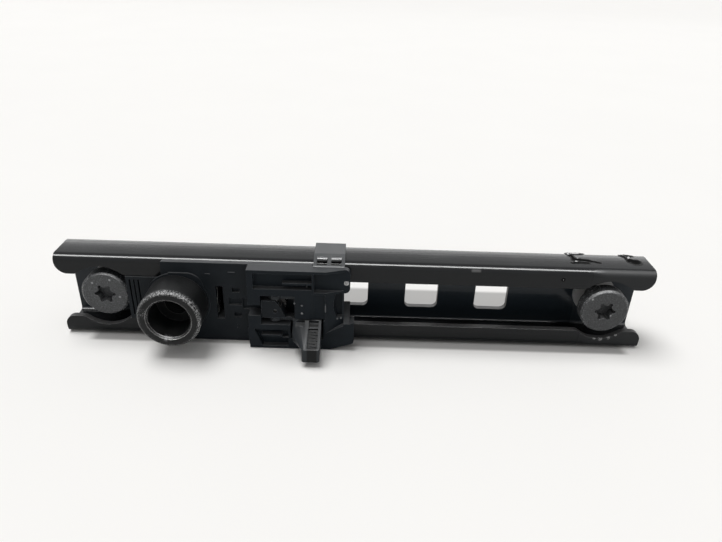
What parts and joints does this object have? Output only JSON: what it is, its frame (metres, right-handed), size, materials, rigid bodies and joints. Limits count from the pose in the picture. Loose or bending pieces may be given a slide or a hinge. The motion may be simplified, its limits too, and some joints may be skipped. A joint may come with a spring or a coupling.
{
  "type": "seat belt height adjuster",
  "caption": "Slotted steel rail for a vehicle pillar with a locking slider, a threaded boss for the belt guide ring, a release lever and captive anchor bolts.",
  "frame": {"origin": "on the rail's back mounting face, midway between the two anchor bolt axes", "axes": "+X along the rail from the slider's end to the free end, +Y out of the mounting face into the pillar, +Z across the rail, up as the object stands on its lower flange"},
  "size_m": [0.246, 0.0519, 0.0395],
  "materials": {
    "black_steel": "gloss",
    "bolt_steel": "matte",
    "boss_steel": "satin",
    "bare_steel": "satin",
    "black_plastic": "satin",
    "grey_plastic": "matte"
  },
  "bodies": {
    "rail": {"rail": "black_steel", "bolt_retainer_left": "grey_plastic", "bolt_retainer_right": "grey_plastic"},
    "slider": {"carrier_plate": "black_steel", "d_ring_boss": "boss_steel", "front_plate": "black_plastic", "upper_guide_shoe": "black_plastic", "lower_guide_shoe": "black_plastic", "mechanism_housing": "black_plastic", "top_guide_clip": "black_plastic", "top_glide_bars": "grey_plastic", "lever_pivot_pin": "bare_steel", "anti_rattle_spring": "bare_steel", "locking_spring": "bare_steel"},
    "lever": {"release_lever": "black_plastic"},
    "lock": {"locking_bolt": "bare_steel", "bolt_yoke": "black_plastic", "link_pin": "bare_steel"},
    "left_bolt": {"anchor_bolt_left": "bolt_steel"},
    "right_bolt": {"anchor_bolt_right": "bolt_steel"}
  },
  "joints": [
    {"name": "slider_travel", "type": "slide", "parent": "rail", "child": "slider", "axis": [1, 0, 0], "range_m": [0, 0.093]},
    {"name": "lever_swing", "type": "hinge", "parent": "slider", "child": "lever", "pos_m": [-0.016, -0.0217, 0], "axis": [0, 0, 1], "range_deg": [-8.9, 4.1]},
    {"name": "lock_draw", "type": "slide", "parent": "slider", "child": "lock", "axis": [0, 1, 0], "range_m": [-0.00119, 0.00259], "stiffness_N_per_m": 800, "deforming": ["locking_spring"]},
    {"name": "left_bolt_slide", "type": "slide", "parent": "rail", "child": "left_bolt", "axis": [0, 1, 0], "range_m": [-0.005, 0.0063]},
    {"name": "right_bolt_slide", "type": "slide", "parent": "rail", "child": "right_bolt", "axis": [0, 1, 0], "range_m": [-0.0026, 0.0087]}
  ],
  "couplings": [
    {"joint": "lever_swing", "follows": "lock_draw", "rad_per_m": -59.88}
  ]
}
